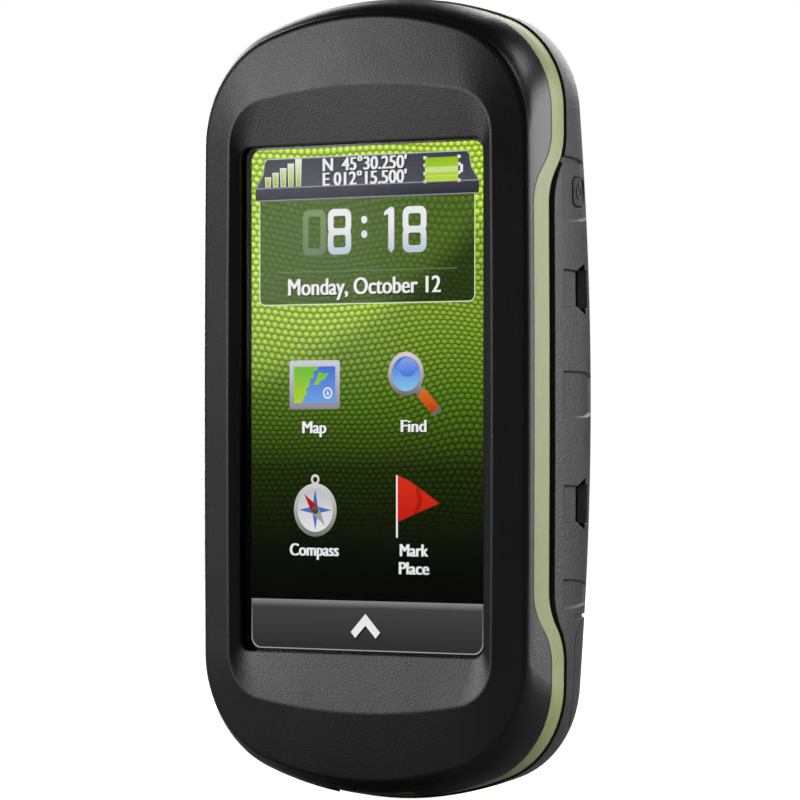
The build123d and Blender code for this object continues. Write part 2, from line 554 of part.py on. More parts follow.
def power_key():
    """Sprung rubber key whose flange, in a pocket on the inner face of the wall, keeps it in."""
    y, z = (KEY_Y - KEY_W / 2, KEY_Y + KEY_W / 2), (KEY_Z - KEY_H / 2, KEY_Z + KEY_H / 2)
    key = side_slab((KEY_FACE_X, FAR), y, z, KEY_R) & skin(DIP_DEPTH - KEY_PROUD)
    flange_y, flange_z = (y[0] - FLANGE_LIP, y[1] + FLANGE_LIP), (z[0] - FLANGE_LIP, z[1] + FLANGE_LIP)
    return key + side_slab((KEY_FACE_X - FLANGE_T, KEY_FACE_X), flange_y, flange_z, KEY_R)


def power_switch():
    body = side_slab((BRACKET_X, SWITCH_TIP_X - 0.5), (KEY_Y - 2, KEY_Y + 2), (KEY_Z - 2, KEY_Z + 2))
    return body + cross_rod(KEY_Y, KEY_Z, 0.9, SWITCH_TIP_X - 0.5, SWITCH_TIP_X)


def switch_bracket():
    """Angle that stands the power switch on the edge of the board."""
    z = (KEY_Z - 4, KEY_Z + 4)
    foot = slab((BOARD_HW - 5, BRACKET_X), (BOARD_BACK, BOARD_BACK + 0.8), z)
    return foot + slab((BRACKET_X - 0.8, BRACKET_X), (BOARD_BACK, KEY_Y + 2.5), z)


def speaker():
    y1 = BACK - WALL - SPEAKER_GASKET
    return rod(SPEAKER_X, SPEAKER_Z, SPEAKER_R, y1 - SPEAKER_T, y1)


def speaker_gasket():
    y = (BACK - WALL - SPEAKER_GASKET, BACK - WALL)
    return rod(SPEAKER_X, SPEAKER_Z, SPEAKER_R, *y) - rod(SPEAKER_X, SPEAKER_Z, SPEAKER_R - 1, *y)


# ---------------------------------------------------------------- battery, card and contacts
def battery_pack():
    g = PACK_GAP
    return slab((-BAY_HW + g, BAY_HW - g), (BAY_FLOOR + 0.1, PACK_BACK), (BAY_LOW + g, BAY_HIGH - g), 3.0)


def cell_contacts():
    """Thin plates at both ends of the bay for three loose cells."""
    ends = (BAY_LOW + 0.05, BAY_HIGH - PACK_GAP + 0.05)
    return [slab((x - 4.5, x + 4.5), (2, 10), (z, z + 0.3)) for x in (-14.5, 0, 14.5) for z in ends]


def cover_seal():
    y = (BAY_RIM, BAY_RIM + 0.6)
    outer = slab((-BAY_HW - 1, BAY_HW + 1), y, (BAY_LOW - 1, BAY_HIGH + 1), 2.0)
    return outer - slab((-BAY_HW - 0.2, BAY_HW + 0.2), y, (BAY_LOW - 0.2, BAY_HIGH + 0.2), 3.0)


def card_board():
    y = CARD_Y - 0.5
    return slab((-9, 9), (y - 0.8, y), (CARD_LOW - 1.5, CARD_LOW + 17))


def card_socket():
    socket = slab((-7, 7), (CARD_Y - 0.5, BAY_FLOOR - BAY_WALL - 0.2), (CARD_LOW + 1.5, CARD_LOW + 15.5))
    return socket - slab((-5.6, 5.6), (CARD_Y - 0.05, CARD_Y + 0.75), (CARD_LOW, CARD_LOW + 14.1))


def memory_card():
    return slab((-5.5, 5.5), (CARD_Y, CARD_Y + 0.7), (CARD_LOW, CARD_LOW + 14), 0.5)


# ---------------------------------------------------------------- ring latch
def latch_spindle():
    """Quarter-turn spindle: slotted hub in the dish, shaft through the cover, cam bar below."""
    hub_y = DISH_Y + 0.05
    spindle = rod(0, LATCH_Z, HUB_R, hub_y, hub_y + HUB_H)
    spindle += rod(0, LATCH_Z, SHAFT_R, CAM_BACK - CAM_T, hub_y)
    cam_z = (LATCH_Z - CAM_REACH, LATCH_Z + CAM_REACH)
    spindle += slab((-CAM_HALF, CAM_HALF), (CAM_BACK - CAM_T, CAM_BACK), cam_z, 2.0)
    return spindle - cross_rod(RING_Y, RING_Z, WIRE_R + 0.06, -HUB_R - 1, HUB_R + 1)


def latch_clip():
    y = (DISH_Y - COVER_T - 0.6, DISH_Y - COVER_T)
    return rod(0, LATCH_Z, HUB_R, *y) - rod(0, LATCH_Z, SHAFT_R, *y)


def latch_ring():
    """Wire ring that folds flat in the dish: a bow of most of a circle and a straight hinge bar."""
    rise = RING_Z - LATCH_Z
    reach = sqrt(RING_R**2 - rise**2)
    right, low, left = (reach, RING_Y, RING_Z), (0, RING_Y, LATCH_Z - RING_R), (-reach, RING_Y, RING_Z)
    bow = Edge.make_three_point_arc(right, low, left)
    start = Plane(origin=right, z_dir=bow.tangent_at(0))
    ring = sweep(start * Circle(WIRE_R), path=bow)
    ring += cross_rod(RING_Y, RING_Z, WIRE_R, -reach, reach)
    for sx in (-1, 1):
        ring += Pos(sx * reach, RING_Y, RING_Z) * Sphere(WIRE_R)
    return ring


# ---------------------------------------------------------------- every node
def build_all():
    sides = [(sx * SCREW_X, z) for sx in (-1, 1) for z in SCREW_ZS]
    nodes = {
        "front_housing": front_housing(),
        "window_gasket": window_gasket(),
        "display_window": display_window(),
        "display_panel": display_panel(),
        "display_flex": display_flex(),
        "chassis": chassis(),
        "trim_band": trim_band(),
        "housing_seal": housing_seal(),
        "rear_housing": rear_housing(),
        "battery_cover": battery_cover(),
        "cover_seal": cover_seal(),
        "latch_spindle": latch_spindle(),
        "latch_clip": latch_clip(),
        "latch_ring": latch_ring(),
        "usb_cap": usb_cap(),
        "jack_cap": jack_cap(),
        "aerial_cap": aerial_cap(),
        "usb_connector": usb_connector(),
        "audio_jack": audio_jack(),
        "aerial_connector": aerial_connector(),
        "aerial_lead": aerial_lead(),
        "power_key": power_key(),
        "power_switch": power_switch(),
        "switch_bracket": switch_bracket(),
        "main_board": main_board(),
        "radio_shield": on_board((-26, -8), 2.4, (8, 29), 1.0),
        "processor_shield": on_board((8, 25.5), 2.4, (-6, 28), 1.0),
        "patch_antenna": on_board((-5, 15), 4.0, (38.5, 58.5), 1.0),
        "pressure_sensor": on_board((-2, 2), 1.2, (-37, -33)),
        "compass_sensor": on_board((-15, -12), 0.9, (-51, -48)),
        "backup_cell": rod(12, -44, 4.8, BOARD_BACK, BOARD_BACK + 1.6),
        "speaker": speaker(),
        "speaker_gasket": speaker_gasket(),
        "vent_membrane": rod(VENT_X, VENT_Z, 2.6, BACK - WALL - 0.3, BACK - WALL),
        "battery_pack": battery_pack(),
        "card_board": card_board(),
        "board_connector": on_board((-8, 8), CARD_Y - 1.3 - BOARD_BACK, (-13, -9)),
        "card_socket": card_socket(),
        "memory_card": memory_card(),
    }
    groups = {
        "housing_screws": screws(sides, BOSS_JOINT - 4.4, SCREW_SEAT, HEAD_R),
        "board_screws": screws(BOARD_SCREWS, CHASSIS_FRONT - 1.5, BOARD_BACK, HEAD_R),
        "cradle_contacts": [rod(x, PIN_Z, PIN_R, BACK - 6, BACK - 0.3) for x in PIN_XS],
        "battery_contacts": [rod(x, PAD_Z, PAD_R, BOARD_BACK, BAY_FLOOR + 0.05) for x in PAD_XS],
        "cell_contacts": cell_contacts(),
    }
    for name, shape in nodes.items():
        write(name, shape)
    for name, solids in groups.items():
        write(name, *solids)


os.makedirs("parts", exist_ok=True)
build_all()
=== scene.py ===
import math

import bmesh
import bpy
from mathutils import Matrix, Vector
from mathutils.bvhtree import BVHTree


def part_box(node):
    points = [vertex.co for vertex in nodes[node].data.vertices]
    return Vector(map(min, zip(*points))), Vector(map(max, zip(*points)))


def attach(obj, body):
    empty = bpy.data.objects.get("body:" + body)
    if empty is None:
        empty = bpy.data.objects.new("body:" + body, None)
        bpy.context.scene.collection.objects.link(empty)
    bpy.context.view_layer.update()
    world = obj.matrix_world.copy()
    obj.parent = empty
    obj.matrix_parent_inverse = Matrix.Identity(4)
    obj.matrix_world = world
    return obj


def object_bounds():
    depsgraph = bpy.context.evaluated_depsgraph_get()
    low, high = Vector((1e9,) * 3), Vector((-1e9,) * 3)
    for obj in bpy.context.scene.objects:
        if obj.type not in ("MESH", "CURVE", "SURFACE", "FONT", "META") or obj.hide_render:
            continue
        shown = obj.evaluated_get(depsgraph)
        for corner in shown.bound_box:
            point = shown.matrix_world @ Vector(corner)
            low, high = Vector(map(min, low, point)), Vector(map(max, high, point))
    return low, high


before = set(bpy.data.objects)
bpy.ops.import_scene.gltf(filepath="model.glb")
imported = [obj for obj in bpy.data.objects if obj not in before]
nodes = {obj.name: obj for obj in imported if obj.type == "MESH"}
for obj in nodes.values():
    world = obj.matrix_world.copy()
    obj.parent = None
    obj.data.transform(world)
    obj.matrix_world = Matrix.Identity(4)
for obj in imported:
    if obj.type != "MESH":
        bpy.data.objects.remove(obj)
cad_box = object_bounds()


# ---- Camera ------------------------------------------------------------------
# A long lens at arm's length from the unit's right front, level with its middle.
# The aim is a little left of the unit's middle, so the whole right side shows.
MM = 0.001
azimuth, elevation = math.radians(35.61), math.radians(-0.5)
distance, aim_left, aim_down = 811.6 * MM, 2.9 * MM, 0.2 * MM
toward_camera = Vector((math.sin(azimuth) * math.cos(elevation),
                        -math.cos(azimuth) * math.cos(elevation), math.sin(elevation)))
camera_data = bpy.data.cameras.new("camera")
camera_data.lens, camera_data.sensor_width = 200.8, 36.0
camera_data.clip_start, camera_data.clip_end = 0.01, 20.0
camera = bpy.data.objects.new("camera", camera_data)
bpy.context.scene.collection.objects.link(camera)
facing = (-toward_camera).to_track_quat("-Z", "Y")
camera.rotation_euler = facing.to_euler()
camera.location = toward_camera * distance + facing @ Vector((-aim_left, -aim_down, 0))
bpy.context.scene.camera = camera
bpy.context.scene.view_settings.view_transform = "Standard"


# ---- Studio ------------------------------------------------------------------
# A round paper floor at the unit's lowest point, soft boxes round it and a dim
# room. To the camera, floor and room are plain white.
def linear(r, g, b):
    """An sRGB colour, 0 to 255, as linear light."""
    shares = [c / 255 for c in (r, g, b)]
    return tuple(c / 12.92 if c <= 0.04 else ((c + 0.055) / 1.055) ** 2.4 for c in shares) + (1.0,)


def new_material(name):
    """A node material; returns it with its tree, its Principled shader and its output."""
    material = bpy.data.materials.new(name)
    material.use_nodes = True
    tree = material.node_tree
    return material, tree, tree.nodes["Principled BSDF"], tree.nodes["Material Output"]


def add(tree, kind, **settings):
    """A shader node with its settings; a key that names a socket sets that socket's value."""
    node = tree.nodes.new(kind)
    for key, value in settings.items():
        if key in node.inputs:
            node.inputs[key].default_value = value
        else:
            setattr(node, key, value)
    return node


def soft_light(name, where, size, power, colour=(1.0, 1.0, 1.0)):
    """A square area light that points at the middle of the unit."""
    data = bpy.data.lights.new(name, "AREA")
    data.shape, data.size, data.energy, data.color = "SQUARE", size, power, colour
    lamp = bpy.data.objects.new(name, data)
    lamp.location = where
    lamp.rotation_euler = (-Vector(where)).to_track_quat("-Z", "Y").to_euler()
    bpy.context.scene.collection.objects.link(lamp)


def around(turn, rise, reach):
    """A point at an azimuth and elevation in degrees, seen from the unit; azimuth 0 is in front."""
    a, e = math.radians(turn), math.radians(rise)
    return (reach * math.sin(a) * math.cos(e), -reach * math.cos(a) * math.cos(e), reach * math.sin(e))


soft_light("left_softbox", around(-112, 4, 0.9), 0.3, 1.6, (0.96, 0.94, 1.0))
soft_light("front_softbox", around(-44, 9.5, 3.0), 0.9, 23.0)
soft_light("right_softbox", around(120, 12, 0.9), 0.6, 7.6)
soft_light("top_softbox", around(95, 55, 0.9), 0.3, 1.6)
soft_light("back_softbox", around(190, 30, 1.1), 0.7, 7.0)
soft_light("left_rear_softbox", around(240, 15, 1.1), 0.7, 5.0)

FLOOR_RADIUS, FLOOR_SIDES = 3.0, 96
floor_mesh = bpy.data.meshes.new("floor")
rim = []
for i in range(FLOOR_SIDES):
    turn = math.tau * i / FLOOR_SIDES
    rim.append((FLOOR_RADIUS * math.cos(turn), FLOOR_RADIUS * math.sin(turn), cad_box[0][2]))
floor_mesh.from_pydata(rim, [], [tuple(range(FLOOR_SIDES))])
floor = bpy.data.objects.new("floor", floor_mesh)
bpy.context.scene.collection.objects.link(floor)
floor_paint, tree, shader, _ = new_material("floor_paint")
shader.inputs["Base Color"].default_value = linear(150, 150, 150)
shader.inputs["Roughness"].default_value = 0.9
speckle = add(tree, "ShaderNodeTexNoise", Scale=900.0)
floor_bump = add(tree, "ShaderNodeBump", Strength=0.05, Distance=0.0002)
tree.links.new(speckle.outputs["Fac"], floor_bump.inputs["Height"])
tree.links.new(floor_bump.outputs["Normal"], shader.inputs["Normal"])
shader.inputs["Emission Color"].default_value = (1.0, 1.0, 1.0, 1.0)
ray = add(tree, "ShaderNodeLightPath")
tree.links.new(ray.outputs["Is Camera Ray"], shader.inputs["Emission Strength"])
floor_mesh.materials.append(floor_paint)

world = bpy.data.worlds.new("room")
bpy.context.scene.world = world
world.use_nodes = True
sky = world.node_tree
ray = add(sky, "ShaderNodeLightPath")
room = sky.nodes["Background"]
room.inputs["Color"].default_value = (1.0, 1.0, 1.0, 1.0)
room.inputs["Strength"].default_value = 0.04
backdrop = add(sky, "ShaderNodeBackground", Color=(1.0, 1.0, 1.0, 1.0), Strength=1.0)
choose = add(sky, "ShaderNodeMixShader")
sky.links.new(ray.outputs["Is Camera Ray"], choose.inputs["Fac"])
sky.links.new(room.outputs[0], choose.inputs[1])
sky.links.new(backdrop.outputs[0], choose.inputs[2])
sky.links.new(choose.outputs[0], sky.nodes["World Output"].inputs["Surface"])


# ---- Front housing -----------------------------------------------------------
# Injection-moulded black polycarbonate with a fine spark-eroded grain. Hands
# polish it, so its gloss and its tint wander. Six case screws hold it from behind.
def moulded(name, colour, worn, roughness, grain_mm, grain_depth_mm, edge_mm):
    """Grained plastic: fine grain in the bump, hand polish in the roughness, softened edges."""
    material, tree, shader, _ = new_material(name)
    place = add(tree, "ShaderNodeTexCoord")
    grain = add(tree, "ShaderNodeTexNoise", Scale=1 / (grain_mm * MM), Detail=3.0, Roughness=0.6)
    pits = add(tree, "ShaderNodeTexVoronoi", Scale=0.8 / (grain_mm * MM))
    polish = add(tree, "ShaderNodeTexNoise", Scale=55.0, Detail=5.0, Roughness=0.65)
    for texture in (grain, pits, polish):
        tree.links.new(place.outputs["Object"], texture.inputs["Vector"])
    height = add(tree, "ShaderNodeMath", operation="ADD")
    tree.links.new(grain.outputs["Fac"], height.inputs[0])
    tree.links.new(pits.outputs["Distance"], height.inputs[1])
    rounding = add(tree, "ShaderNodeBevel", samples=4, Radius=edge_mm * MM)
    bump = add(tree, "ShaderNodeBump", Strength=0.55, Distance=grain_depth_mm * MM)
    tree.links.new(height.outputs[0], bump.inputs["Height"])
    tree.links.new(rounding.outputs["Normal"], bump.inputs["Normal"])
    tree.links.new(bump.outputs["Normal"], shader.inputs["Normal"])
    gloss = add(tree, "ShaderNodeMapRange")
    gloss.inputs["To Min"].default_value = roughness - 0.05
    gloss.inputs["To Max"].default_value = roughness + 0.09
    tree.links.new(polish.outputs["Fac"], gloss.inputs["Value"])
    tree.links.new(gloss.outputs["Result"], shader.inputs["Roughness"])
    tint = add(tree, "ShaderNodeValToRGB")
    tint.color_ramp.elements[0].position, tint.color_ramp.elements[0].color = 0.3, colour
    tint.color_ramp.elements[1].position, tint.color_ramp.elements[1].color = 0.75, worn
    tree.links.new(polish.outputs["Fac"], tint.inputs["Fac"])
    tree.links.new(tint.outputs["Color"], shader.inputs["Base Color"])
    return material


def dress(material, *names):
    """Gives a finish to CAD nodes that stay in view."""
    for name in names:
        mesh = nodes[name].data
        mesh.materials.clear()
        mesh.materials.append(material)


front_plastic = moulded("front_plastic", linear(11, 11, 12), linear(16, 16, 17), 0.31, 0.3, 0.018, 0.5)
dress(front_plastic, "front_housing")


# ---- Rear housing and battery cover ------------------------------------------
# Black polycarbonate like the front, in a coarser and drier grain that wet
# gloves can hold. The cover is a moulding of its own, held on by the latch.
back_plastic = moulded("back_plastic", linear(30, 30, 31), linear(48, 48, 49), 0.46, 0.5, 0.08, 0.3)
cover_plastic = moulded("cover_plastic", linear(31, 31, 32), linear(46, 46, 47), 0.47, 0.4, 0.05, 0.3)
dress(back_plastic, "rear_housing")
dress(cover_plastic, "battery_cover")


# ---- Trim band ---------------------------------------------------------------
# An olive ring between the two housings, moulded through in its colour and
# lacquered satin. The case screws clamp it.
olive_satin = moulded("olive_satin", linear(143, 150, 98), linear(158, 165, 113), 0.4, 0.35, 0.012, 0.3)
dress(olive_satin, "trim_band")


# ---- Rubber pieces -----------------------------------------------------------
# Seals, gaskets, weather caps and the power key are pressed from dull black
# silicone rubber. Seals lie in their gaps, and each cap hangs on its own edge.
soft_rubber = moulded("soft_rubber", linear(20, 20, 20), linear(34, 34, 34), 0.66, 0.5, 0.02, 0.25)
dress(soft_rubber, "housing_seal", "window_gasket", "cover_seal", "speaker_gasket",
      "usb_cap", "jack_cap", "aerial_cap", "power_key")


# ---- Power key mark ----------------------------------------------------------
# The power sign, a broken ring and a bar, stands a little proud of the rubber
# key. It is moulded in one with it, so it follows the key's curved face.
MARK_PROUD, MARK_ROOT = 0.14, 0.1
RING_OUTER, RING_INNER, RING_START, RING_SWEEP, RING_STEPS = 1.25, 0.85, 120, 300, 40
BAR_HALF, BAR_FOOT, BAR_LENGTH, BAR_STEPS = 0.2, 0.2, 1.4, 6

key_low, key_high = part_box("power_key")
key_shape = bmesh.new()
key_shape.from_mesh(nodes["power_key"].data)
key_shape.transform(nodes["power_key"].matrix_world)
key_face = BVHTree.FromBMesh(key_shape)
key_shape.free()


def on_key(outline):
    """Top and root of a raised shape; its outline is in millimetres across and up from mid key."""
    mid_y, mid_z = (key_low.y + key_high.y) / 2, (key_low.z + key_high.z) / 2
    top, root = [], []
    for across, up in outline:
        start = Vector((key_high.x + 5 * MM, mid_y + across * MM, mid_z + up * MM))
        face_point = key_face.ray_cast(start, Vector((-1, 0, 0)))[0]
        top.append(face_point + Vector((MARK_PROUD * MM, 0, 0)))
        root.append(face_point - Vector((MARK_ROOT * MM, 0, 0)))
    return top, root


def link(name, mesh, material, body):
    """Puts a finished mesh in the scene, riding on its body."""
    piece = bpy.data.objects.new(name, mesh)
    bpy.context.scene.collection.objects.link(piece)
    mesh.materials.append(material)
    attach(piece, body)


ring_turns = [math.radians(RING_START + RING_SWEEP * i / RING_STEPS) for i in range(RING_STEPS + 1)]
broken_ring = [(RING_OUTER * math.cos(a), RING_OUTER * math.sin(a)) for a in ring_turns]
broken_ring += [(RING_INNER * math.cos(a), RING_INNER * math.sin(a)) for a in reversed(ring_turns)]
bar_heights = [BAR_FOOT + BAR_LENGTH * i / BAR_STEPS for i in range(BAR_STEPS + 1)]
bar_sign = [(-BAR_HALF, up) for up in bar_heights] + [(BAR_HALF, up) for up in reversed(bar_heights)]
mark = bmesh.new()
for outline in (broken_ring, bar_sign):
    top, root = on_key(outline)
    n = len(outline)
    tops = [mark.verts.new(p) for p in top]
    roots = [mark.verts.new(p) for p in root]
    for i in range(n // 2 - 1):
        j = n - 1 - i
        mark.faces.new((tops[i], tops[i + 1], tops[j - 1], tops[j]))
        mark.faces.new((roots[i + 1], roots[i], roots[j], roots[j - 1]))
    for i in range(n):
        j = (i + 1) % n
        mark.faces.new((tops[i], roots[i], roots[j], tops[j]))
bmesh.ops.recalc_face_normals(mark, faces=mark.faces)
mark_mesh = bpy.data.meshes.new("power_key_mark")
mark.to_mesh(mark_mesh)
mark.free()
# The sign is the key's own rubber; its lighter grey is a painted highlight on the raised face.
mark_rubber_highlit = moulded("mark_rubber_highlit", linear(52, 52, 53), linear(70, 70, 71), 0.5, 0.3, 0.01, 0.1)
link("power_key_mark", mark_mesh, mark_rubber_highlit, "key")


# ---- Display -----------------------------------------------------------------
# The lit liquid-crystal module. What it shows lies on its face as thin glowing
# films in layers: woven green wallpaper, status strip, clock pane, four icons and
# a soft-key bar. Sizes are millimetres from the middle of the panel.
VIEW_X, VIEW_Z, VIEW_R = 25.65, 45.25, 2.0
FILM, FILM_SHARE = 0.008, 0.7
panel_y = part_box("display_panel")[0].y / MM


def film_y(layer):
    """Front face of a film, counted in layers towards the viewer."""
    return panel_y - FILM * (layer + 1)


def add_plate(bm, outline, layer, hole=None):
    """A closed film with an (x, z) outline, and one hole with as many points if given."""
    y0, y1 = film_y(layer) * MM, (film_y(layer) + FILM * FILM_SHARE) * MM
    rings = []
    for y in (y0, y1):
        rings.append([bm.verts.new((x * MM, y, z * MM)) for x, z in outline])
    n = len(outline)
    if hole is None:
        bm.faces.new(rings[0][::-1])
        bm.faces.new(rings[1])
    else:
        inner = [[bm.verts.new((x * MM, y, z * MM)) for x, z in hole] for y in (y0, y1)]
        for i in range(n):
            j = (i + 1) % n
            bm.faces.new((rings[0][i], inner[0][i], inner[0][j], rings[0][j]))
            bm.faces.new((rings[1][i], rings[1][j], inner[1][j], inner[1][i]))
            bm.faces.new((inner[0][i], inner[1][i], inner[1][j], inner[0][j]))
    for i in range(n):
        j = (i + 1) % n
        bm.faces.new((rings[0][i], rings[0][j], rings[1][j], rings[1][i]))


def film(name, shapes, layer, material):
    """One piece made of several plates; a shape is an outline, or an outline and its hole."""
    bm = bmesh.new()
    for shape in shapes:
        if isinstance(shape, tuple):
            add_plate(bm, shape[0], layer, shape[1])
        else:
            add_plate(bm, shape, layer)
    bmesh.ops.recalc_face_normals(bm, faces=bm.faces)
    mesh = bpy.data.meshes.new(name)
    bm.to_mesh(mesh)
    bm.free()
    link(name, mesh, material, "unit")


def rounded(x0, z0, x1, z1, r, steps=8):
    """Rectangle with round corners, anticlockwise from its lower right."""
    corners = ((x1 - r, z0 + r, -90), (x1 - r, z1 - r, 0), (x0 + r, z1 - r, 90), (x0 + r, z0 + r, 180))
    points = []
    for cx, cz, start in corners:
        for i in range(steps + 1):
            a = math.radians(start + 90 * i / steps)
            points.append((cx + r * math.cos(a), cz + r * math.sin(a)))
    return points


def disc(cx, cz, r, steps=48, stretch=1.0):
    """Circle, or an oval stretched across."""
    turns = [math.tau * i / steps for i in range(steps)]
    return [(cx + r * stretch * math.cos(a), cz + r * math.sin(a)) for a in turns]


def lit(name, top, bottom, z_top, z_bottom):
    """Glowing film whose sRGB colour runs from z_top down to z_bottom."""
    material, tree, shader, _ = new_material(name)
    place, split = add(tree, "ShaderNodeTexCoord"), add(tree, "ShaderNodeSeparateXYZ")
    tree.links.new(place.outputs["Object"], split.inputs["Vector"])
    run = add(tree, "ShaderNodeMapRange")
    run.inputs["From Min"].default_value = z_bottom * MM
    run.inputs["From Max"].default_value = z_top * MM
    tree.links.new(split.outputs["Z"], run.inputs["Value"])
    ramp = add(tree, "ShaderNodeValToRGB")
    ramp.color_ramp.elements[0].color = linear(*bottom)
    ramp.color_ramp.elements[1].color = linear(*top)
    tree.links.new(run.outputs["Result"], ramp.inputs["Fac"])
    tree.links.new(ramp.outputs["Color"], shader.inputs["Emission Color"])
    shader.inputs["Base Color"].default_value = (0.0, 0.0, 0.0, 1.0)
    shader.inputs["Emission Strength"].default_value = 1.0
    shader.inputs["Specular IOR Level"].default_value = 0.0
    shader.inputs["Roughness"].default_value = 0.6
    return material


CLOTH_ACROSS, CLOTH_UP = 1.5, 2.0
SHADE_MIDDLE, SHADE_START, SHADE_END = (-0.078, 0.156, 0.0), 0.1585, 0.1655
CLIMB_LOW, CLIMB_HIGH = -0.033, 0.032
DIM_AT, MID_AT = 0.16, 0.36


def woven(name, bright, mid, dim, dark, veil, shadow):
    """Cloth in rows of staggered threads, lit from above and darker past a wide round edge.

    veil is how dark the gaps between the threads are, and shadow the light left past the edge.
    """
    material, tree, shader, _ = new_material(name)
    links = tree.links.new
    place, split = add(tree, "ShaderNodeTexCoord"), add(tree, "ShaderNodeSeparateXYZ")
    links(place.outputs["Object"], split.inputs["Vector"])
    flat = add(tree, "ShaderNodeCombineXYZ")
    links(split.outputs["X"], flat.inputs["X"])
    links(split.outputs["Z"], flat.inputs["Y"])
    drift = add(tree, "ShaderNodeTexNoise", Scale=22.0, Detail=1.0)
    links(flat.outputs[0], drift.inputs["Vector"])
    bend = add(tree, "ShaderNodeVectorMath", operation="MULTIPLY_ADD")
    links(drift.outputs["Color"], bend.inputs[0])
    bend.inputs[1].default_value = (0.004, 0.016, 0.0)
    links(flat.outputs[0], bend.inputs[2])
    thread = add(tree, "ShaderNodeSeparateXYZ")
    links(bend.outputs[0], thread.inputs["Vector"])

    def wave(source, pitch_mm, shift):
        """Cosine ripple along one direction of the cloth."""
        turn = add(tree, "ShaderNodeMath", operation="MULTIPLY_ADD")
        turn.inputs[1].default_value, turn.inputs[2].default_value = math.tau / (pitch_mm * MM), shift
        links(source, turn.inputs[0])
        cosine = add(tree, "ShaderNodeMath", operation="COSINE")
        links(turn.outputs[0], cosine.inputs[0])
        return cosine.outputs[0]

    def knots(shift, low, high):
        """Staggered spots, 0 between the threads and 1 on them; shift moves them up or down."""
        both = add(tree, "ShaderNodeMath", operation="MULTIPLY")
        links(wave(thread.outputs["X"], CLOTH_ACROSS, 0.0), both.inputs[0])
        links(wave(thread.outputs["Y"], CLOTH_UP, shift), both.inputs[1])
        rows = add(tree, "ShaderNodeMath", operation="MULTIPLY_ADD")
        rows.inputs[1].default_value = 0.7
        links(wave(thread.outputs["Y"], CLOTH_UP / 2, 2 * shift), rows.inputs[0])
        links(both.outputs[0], rows.inputs[2])
        spot = add(tree, "ShaderNodeMapRange", interpolation_type="SMOOTHSTEP")
        spot.inputs["From Min"].default_value, spot.inputs["From Max"].default_value = low, high
        links(rows.outputs[0], spot.inputs["Value"])
        return spot.outputs["Result"]

    away = add(tree, "ShaderNodeVectorMath", operation="DISTANCE")
    links(flat.outputs[0], away.inputs[0])
    away.inputs[1].default_value = SHADE_MIDDLE
    shade = add(tree, "ShaderNodeMapRange", interpolation_type="SMOOTHSTEP")
    shade.inputs["From Min"].default_value = SHADE_START
    shade.inputs["From Max"].default_value = SHADE_END
    shade.inputs["To Min"].default_value, shade.inputs["To Max"].default_value = 1.0, shadow
    links(away.outputs["Value"], shade.inputs["Value"])
    climb = add(tree, "ShaderNodeMapRange", interpolation_type="SMOOTHSTEP")
    climb.inputs["From Min"].default_value = CLIMB_LOW
    climb.inputs["From Max"].default_value = CLIMB_HIGH
    links(split.outputs["Z"], climb.inputs["Value"])
    level = add(tree, "ShaderNodeMath", operation="MULTIPLY")
    links(shade.outputs["Result"], level.inputs[0])
    links(climb.outputs["Result"], level.inputs[1])
    colours = add(tree, "ShaderNodeValToRGB")
    ramp = colours.color_ramp
    ramp.elements[0].color, ramp.elements[1].color = linear(*dark), linear(*bright)
    ramp.elements.new(DIM_AT).color = linear(*dim)
    ramp.elements.new(MID_AT).color = linear(*mid)
    links(level.outputs[0], colours.inputs["Fac"])
    gaps = add(tree, "ShaderNodeMapRange")
    gaps.inputs["To Min"].default_value, gaps.inputs["To Max"].default_value = 1.0 - veil, 1.0
    links(knots(0.0, -0.9, 0.6), gaps.inputs["Value"])
    cloth = add(tree, "ShaderNodeVectorMath", operation="SCALE")
    links(colours.outputs["Color"], cloth.inputs[0])
    links(gaps.outputs["Result"], cloth.inputs["Scale"])
    crest = add(tree, "ShaderNodeMath", operation="MULTIPLY")
    crest.inputs[1].default_value = 0.45 * veil
    links(knots(-0.6, 0.5, 1.6), crest.inputs[0])
    gleam = add(tree, "ShaderNodeVectorMath", operation="MULTIPLY_ADD")
    links(colours.outputs["Color"], gleam.inputs[0])
    links(crest.outputs[0], gleam.inputs[1])
    links(cloth.outputs[0], gleam.inputs[2])
    links(gleam.outputs[0], shader.inputs["Emission Color"])
    shader.inputs["Base Color"].default_value = (0.0, 0.0, 0.0, 1.0)
    shader.inputs["Emission Strength"].default_value = 1.0
    shader.inputs["Specular IOR Level"].default_value = 0.0
    return material


wallpaper = woven("wallpaper_cloth", (210, 252, 84), (96, 136, 30), (40, 58, 13), (5, 7, 2), 0.62, 0.68)
film("screen_wallpaper", [rounded(-VIEW_X, -VIEW_Z, VIEW_X, VIEW_Z, VIEW_R)], 0, wallpaper)

# The clock panel is a dark glass pane over the same cloth, with a pale outline.
pane_shape = (-23.9, 16.9, 23.9, 36.8, 1.3)
pane = woven("clock_pane", (90, 122, 42), (48, 66, 19), (26, 38, 9), (10, 15, 3), 0.4, 0.4)
film("screen_clock_pane", [rounded(*pane_shape)], 1, pane)
pale_line = lit("pale_line", (225, 240, 190), (235, 245, 215), 37, 16)
x0, z0, x1, z1, r = pane_shape
LINE = 0.2
pane_inside = rounded(x0 + LINE, z0 + LINE, x1 - LINE, z1, r - LINE)
film("screen_pane_outline", [(rounded(*pane_shape), pane_inside)], 2, pale_line)
rule = lit("rule_line", (150, 170, 120), (60, 80, 35), 23.2, 22.7)
film("screen_rule", [[(-20, 22.8), (20, 22.8), (20, 23.0), (-20, 23.0)]], 2, rule)

# Status strip: a shaped plate with a folded lower lip.
strip = lit("status_strip", (66, 68, 76), (84, 86, 96), 43.8, 38.2)
lip = lit("status_lip", (72, 70, 82), (50, 48, 58), 38.3, 36.1)
edge = lit("status_edge", (196, 202, 214), (150, 154, 166), 44.0, 38.0)


